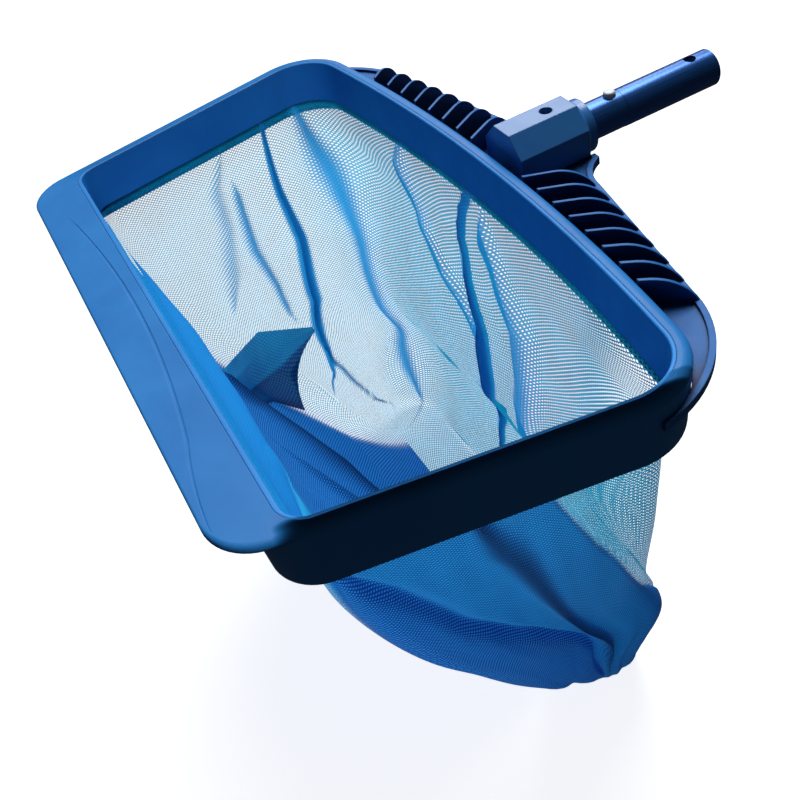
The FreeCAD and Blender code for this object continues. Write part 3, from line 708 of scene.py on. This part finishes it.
def cloth_look(u, depth, mark):
    """Share of thread, brightness, depth of blue and clearness of the holes, on one row."""
    v = min(depth, 1.0)
    front = 1 - step_up(np.minimum(u, 1 - u), 0.115, 0.150)
    near = step_up(u, 0.12, 0.15) * (1 - step_up(u, 0.385, 0.400))
    pale_from = along(fold("near_edge")["path"], v)
    near = near * (1 - step_up(u, pale_from - 0.004, pale_from + 0.004))
    rear = step_up(u, 0.38, 0.42) * (1 - step_up(u, 0.60, 0.70))
    low = step_up(np.array([depth]), 0.93, 1.15)[0] * (front + near)
    # painted shadow: the near side below its sheet's lower edge takes a deeper blue
    sheet_edge = along(fold("near_low")["path"], v)
    under = near * (1 - step_up(u, sheet_edge - 0.006, sheet_edge + 0.006))
    pale = step_up(u, 0.28, 0.32) * (1 - step_up(u, 0.40, 0.43))
    cover = NET_COVER + 0.18 * rear + 0.05 * pale
    cover = cover - 0.10 * step_up(np.array([depth]), 0.97, 1.03)[0]
    cover = np.maximum(cover, front)
    cover = np.maximum(cover, 0.985 * near)
    cover = np.maximum(cover, 0.90 * low)
    cover = np.maximum(cover, NET_COVER + (1 - NET_COVER) * mark)
    upper = 1 - step_up(np.array([v]), 0.30, 0.48)[0]
    tint = np.maximum(front * upper * 0.9, 0.85 * mark)
    # deeper blue on the lower front, the bottom and the near side: painted shade, also standing in for
    # cloth layers behind
    deep = np.maximum(front * (1 - upper), 0.6 * low)
    deep = np.maximum(deep, (0.80 + 0.20 * under) * near)
    deep = np.maximum(deep, 0.30 * mark)
    clear = pale * (1 - near)
    return tuple(np.clip(value, 0, 1) for value in (cover, tint, deep, clear))


def sheet_mesh(name, points, cut, layers, closed):
    """A grid of points, rows by columns, as a mesh with its cut as UVs and its look as attributes."""
    rows, cols = points.shape[:2]
    turns = cols if closed else cols - 1
    faces, uvs = [], []
    for r in range(rows - 1):
        for c in range(turns):
            d = (c + 1) % cols
            faces.append((r * cols + c, (r + 1) * cols + c, (r + 1) * cols + d, r * cols + d))
            e = c + 1
            uvs += [cut[r, c], cut[r + 1, c], cut[r + 1, e], cut[r, e]]
    world = points.reshape(-1, 3) * MM
    world[:, 1] += FRONT_Y
    world[:, 2] += RIM_Z
    mesh = bpy.data.meshes.new(name)
    mesh.from_pydata(world.tolist(), [], faces)
    mesh.uv_layers.new(name="cut").data.foreach_set("uv", np.array(uvs, dtype=np.float32).ravel())
    for key, values in layers.items():
        made = mesh.attributes.new(key, "FLOAT", "POINT")
        made.data.foreach_set("value", np.asarray(values, dtype=np.float32).ravel())
    mesh.shade_smooth()
    piece = bpy.data.objects.new(name, mesh)
    bpy.context.collection.objects.link(piece)
    return piece


def net_bag(material):
    """The bag, closed round its ring."""
    points, cut, layers, length = build_bag()
    piece = sheet_mesh("net_bag_cloth", points, cut, layers, True)
    piece.data.materials.append(material)
    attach(piece, "head")
    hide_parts("net_bag")
    return piece


# the flap's lines from the band to its tip, mm from the leading edge and the rim's top: upper edge,
# the turn at its lower edge, and the free edge of what is turned under
TUCK_LINES = [
    [(-118, 71, -165), (-190, 128, -197), (-196, 180, -224)],
    [(-86, 73, -171), (-152, 100, -222), (-186, 137, -240), (-195, 181, -229)],
    [(-92, 80, -194), (-148, 112, -245), (-154, 139, -279), (-182, 142, -252)],
]


def tuck(material):
    """A fold of net pulled out over the band: a pale flap, turned under at its lower edge."""
    count, rows = 70, 44
    places = []
    for line in TUCK_LINES:
        line = np.array(line, dtype=float)
        reach = np.r_[0, np.cumsum(np.linalg.norm(np.diff(line, axis=0), axis=1))]
        where = np.linspace(0, reach[-1], count)
        places.append(np.c_[[np.interp(where, reach, line[:, k]) for k in range(3)]].T)
    places = np.array(places)
    knots = np.linspace(0, 1, len(TUCK_LINES))
    points = np.zeros((rows, count, 3))
    painted_shade = np.zeros((rows, count))
    eye = (np.array(CAMERA_PLACE) - (0, FRONT_Y, RIM_Z)) / MM
    for r in range(rows):
        t = r / (rows - 1)
        row = np.array([[np.interp(t, knots, places[:, c, k]) for k in range(3)]
                        for c in range(count)])
        along_it = np.linspace(0, 1, count)
        arch = np.sin(np.clip(along_it, 0.02, 1) * math.pi) ** 0.5
        crown = np.interp(t, [0, .25, .5, .56, 1], [3, 10, 6, 1, 2]) * arch
        wave = np.array([noise.noise(Vector((a * 5.0, t * 4.0, 7.7))) for a in along_it])
        fine = np.array([noise.noise(Vector((a * 13.0, t * 9.0, 2.2))) for a in along_it])
        toward = eye - row
        toward /= np.linalg.norm(toward, axis=1)[:, None]
        points[r] = row + toward * (crown + 3.5 * wave + 1.2 * fine)[:, None]
        # painted shade on the part turned under, below the flap's lower edge; it deepens the blue there
        # too
        painted_shade[r] = np.interp(t, [0, .50, .54, .85, 1], [0, 0, .85, .8, 1.3])
    across = np.linalg.norm(np.diff(points, axis=1), axis=2).sum(1).max() * MM
    down = np.linalg.norm(np.diff(points, axis=0), axis=2).sum(0).max() * MM
    cut = np.zeros((rows, count, 2))
    cut[:, :, 0] = np.linspace(0, across, count)
    cut[:, :, 1] = np.linspace(0, down, rows)[:, None]
    ones = np.ones((rows, count))
    layers = dict(cover=ones * 0.975, tint=ones * 0, deep=0.3 + painted_shade * 0.5, painted_shade=painted_shade * 0.68,
                  open=ones * 0)
    piece = sheet_mesh("net_tuck_cloth", points, cut, layers, False)
    piece.data.materials.append(material)
    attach(piece, "head")
    return piece


# ---- hem cord ----


CORD_RING = (6.8, 37.1, 20.7, -34.95)       # as for the hem's rings
CORD_LAY = 5.2                              # length of one turn of the strands, mm
STRAND_RADIUS, STRAND_OFFSET = 0.5, 0.42    # mm
STRAND_SIDES = 8
CORD_POINTS = 900


def hem_cord(material):
    """Three-strand cord lying in the channel outside the retainer's foot."""
    ring = mouth_ring(*CORD_RING)
    count = CORD_POINTS
    turns = round(round_length(ring) / CORD_LAY)
    base = sample(ring[None], np.arange(count) / count, 0)
    ahead = np.roll(base, -1, axis=0) - np.roll(base, 1, axis=0)
    ahead /= np.linalg.norm(ahead, axis=1)[:, None]
    side = np.c_[-ahead[:, 1], ahead[:, 0], np.zeros(count)]
    up = np.array([0.0, 0.0, 1.0])
    verts, faces = [], []
    for strand in range(3):
        phase = math.tau * (np.arange(count) / count * turns + strand / 3)
        out_by, up_by = np.cos(phase) * STRAND_OFFSET, np.sin(phase) * STRAND_OFFSET
        centre = base + side * out_by[:, None] + up * up_by[:, None]
        start = len(verts)
        for k in range(STRAND_SIDES):
            a = math.tau * k / STRAND_SIDES
            line = centre + side * (STRAND_RADIUS * math.cos(a)) + up * (STRAND_RADIUS * math.sin(a))
            verts.extend(line.tolist())
        for i in range(count):
            j = (i + 1) % count
            for k in range(STRAND_SIDES):
                m = (k + 1) % STRAND_SIDES
                faces.append((start + k * count + i, start + k * count + j,
                              start + m * count + j, start + m * count + i))
    world = np.array(verts) * MM
    world[:, 1] += FRONT_Y
    world[:, 2] += RIM_Z
    mesh = bpy.data.meshes.new("hem_cord_strands")
    mesh.from_pydata(world.tolist(), [], faces)
    mesh.shade_smooth()
    piece = bpy.data.objects.new("hem_cord_strands", mesh)
    bpy.context.collection.objects.link(piece)
    piece.data.materials.append(material)
    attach(piece, "head")
    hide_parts("hem_cord")
    return piece


def cord_yarn(name):
    """Twisted blue yarn with a fibrous face."""
    s = Shade(name)
    where = s.place()
    yarn = s.noise(where, 2600.0, 3.0, 0.6)
    colour = s.mix(s.remap(yarn, 0.3, 0.7), (0.01, 0.09, 0.32), (0.03, 0.2, 0.55))
    roughness = s.remap(yarn, 0.2, 0.8, 0.55, 0.75)
    shader = s.principled(Base_Color=colour, Roughness=roughness, Normal=s.bump(yarn, 0.4, 0.1 * MM))
    s.link(shader.outputs[0], s.out.inputs[0])
    return s.mat


# ---- finishes on the CAD nodes ----


def finish_nodes():
    """A material on every CAD node that shows."""
    shell = moulded("frame_plastic", (0.014, 0.170, 0.52), (0.022, 0.215, 0.60), 0.45, rolled=True,
                    gloss=0.22)
    # painted shade: the brace's blue is darker than the shell's, to darken its fins and flange
    brace = moulded("brace_plastic", (0.012, 0.125, 0.42), (0.018, 0.155, 0.48), 0.48, gloss=0.2,
                    hollow_shade=(0.001, 0.012, 0.06))
    hub = moulded("hub_plastic", (0.02, 0.14, 0.43), (0.028, 0.18, 0.5), 0.34, coat=0.15)
    white = moulded("button_plastic", (0.62, 0.68, 0.74), (0.72, 0.77, 0.82), 0.35, edge=0.0005)
    tube = anodised("tube_anodised")
    metal = steel("stainless")
    given = {
        "frame_shell": shell, "retainer_ring": shell, "rear_brace": brace, "hub_socket": hub,
        "handle_tube": tube, "snap_button": white, "clip_spring": metal,
        "hub_bolt": metal, "hub_washer": metal, "hub_nut": metal, "retainer_screws": metal,
        "brace_screws": metal,
    }
    for node, material in given.items():
        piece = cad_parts[node]
        for place in piece.material_slots:
            place.material = material
        if not piece.material_slots:
            piece.data.materials.append(material)


# ---- floor, light and camera ----


KEY_FROM = (-0.42, 0.30, 0.86)
SUN_SPREAD = math.radians(35)
KEY_SUN, FLOOR_SUN = 3.2, 1.0               # strengths of the two suns
FLOOR_REACH = 4.0                           # half the floor's width, and its walls' height


def floor():
    """A pale floor with pale walls far round it."""
    mesh = bpy.data.meshes.new("floor")
    reach = FLOOR_REACH
    corners = [(-reach, -reach), (reach, -reach), (reach, reach), (-reach, reach)]
    verts = [(x, y, z) for z in (FLOOR_Z, FLOOR_Z + reach) for x, y in corners]
    walls = [(k, k + 4, (k + 1) % 4 + 4, (k + 1) % 4) for k in range(4)]
    mesh.from_pydata(verts, [], [(0, 1, 2, 3)] + walls)
    piece = bpy.data.objects.new("floor", mesh)
    bpy.context.collection.objects.link(piece)
    s = Shade("floor_pale")
    cloud = s.noise(s.place(), 2.0, 2.0)
    colour = s.mix(s.remap(cloud, 0.3, 0.7), (0.90, 0.90, 0.90), (0.94, 0.94, 0.94))
    shader = s.principled(Base_Color=colour, Roughness=0.9)
    shader.inputs["Specular IOR Level"].default_value = 0.1
    shader.inputs["Emission Color"].default_value = (1.0, 1.0, 1.0, 1.0)
    shader.inputs["Emission Strength"].default_value = 0.86
    s.link(shader.outputs[0], s.out.inputs[0])
    mesh.materials.append(s.mat)
    piece.visible_diffuse = False
    piece.visible_glossy = False
    piece.visible_shadow = False
    return piece


def softbox(name, place, aim, width, height, watts, colour=(1, 1, 1)):
    data = bpy.data.lights.new(name, "AREA")
    data.shape = "RECTANGLE"
    data.size, data.size_y = width, height
    data.energy = watts
    data.color = colour
    lamp = bpy.data.objects.new(name, data)
    bpy.context.collection.objects.link(lamp)
    lamp.location = place
    lamp.rotation_euler = (Vector(aim) - Vector(place)).to_track_quat("-Z", "Y").to_euler()
    return lamp


def only_for(lamp, pieces):
    """The lamp lights only these pieces."""
    group = bpy.data.collections.new(lamp.name + "_lights")
    for piece in pieces:
        group.objects.link(piece)
    lamp.light_linking.receiver_collection = group


def sunlight(name, strength, pieces):
    """A soft sun from the key's side, on these pieces only."""
    data = bpy.data.lights.new(name, "SUN")
    data.energy = strength
    data.angle = SUN_SPREAD
    lamp = bpy.data.objects.new(name, data)
    bpy.context.collection.objects.link(lamp)
    lamp.rotation_euler = Vector(KEY_FROM).to_track_quat("Z", "Y").to_euler()
    only_for(lamp, pieces)


def light(cloth, cord, ground):
    world = bpy.data.worlds.new("studio")
    bpy.context.scene.world = world
    world.use_nodes = True
    back = world.node_tree.nodes["Background"]
    back.inputs[0].default_value = (0.93, 0.97, 1.0, 1.0)
    back.inputs[1].default_value = 0.035
    nodes = [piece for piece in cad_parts.values() if piece.type == "MESH"]
    sunlight("key", KEY_SUN, nodes + cloth + [cord])
    sunlight("floor_key", FLOOR_SUN, [ground])
    hub_low, hub_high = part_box("hub_socket")
    hub = (Vector(hub_low) + Vector(hub_high)) / 2
    softbox("hub_strip", hub + Vector((-0.91, 0.52, 0.60)), hub, 0.55, 0.55, 3.6)
    eye = Vector(CAMERA_PLACE)
    aim = Vector((0.0, -0.28, -0.1))
    cloth_fill = softbox("cloth_fill", eye + Vector((0.25, -0.5, 0.1)), aim, 0.9, 0.9, 10.0)
    only_for(cloth_fill, cloth)
    inner_fill = softbox("inner_fill", eye + Vector((0.1, 0.1, 0.2)), aim, 0.5, 0.5, 3.2)
    only_for(inner_fill, [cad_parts["retainer_ring"]])


CAMERA_RIGHT = (0.45836541, 0.86968799, -0.18315009)
CAMERA_UP = (-0.55316917, 0.44045732, 0.70710764)
FOCAL_SHARE = 1050.0 / 800.0                # focal length over the picture's width
SENSOR = 36.0


def camera():
    """The photograph's view."""
    data = bpy.data.cameras.new("camera")
    data.sensor_width = SENSOR
    data.lens = SENSOR * FOCAL_SHARE
    data.clip_start = 0.01
    made = bpy.data.objects.new("camera", data)
    bpy.context.collection.objects.link(made)
    right, up = Vector(CAMERA_RIGHT).normalized(), Vector(CAMERA_UP).normalized()
    back = right.cross(up)
    turn = Matrix((right, up, back)).transposed().to_4x4()
    made.matrix_world = Matrix.Translation(CAMERA_PLACE) @ turn
    bpy.context.scene.camera = made


finish_nodes()
mesh_finish = knit("net_knit")
tuck_finish = knit("tuck_knit", pitch=3.3 * MM, wander=0.9 * MM)
cloth_pieces = [net_bag(mesh_finish), front_band(mesh_finish), tuck(tuck_finish)]
cord = hem_cord(cord_yarn("cord_yarn"))
light(cloth_pieces, cord, floor())
camera()
bpy.context.scene.view_settings.view_transform = "Standard"
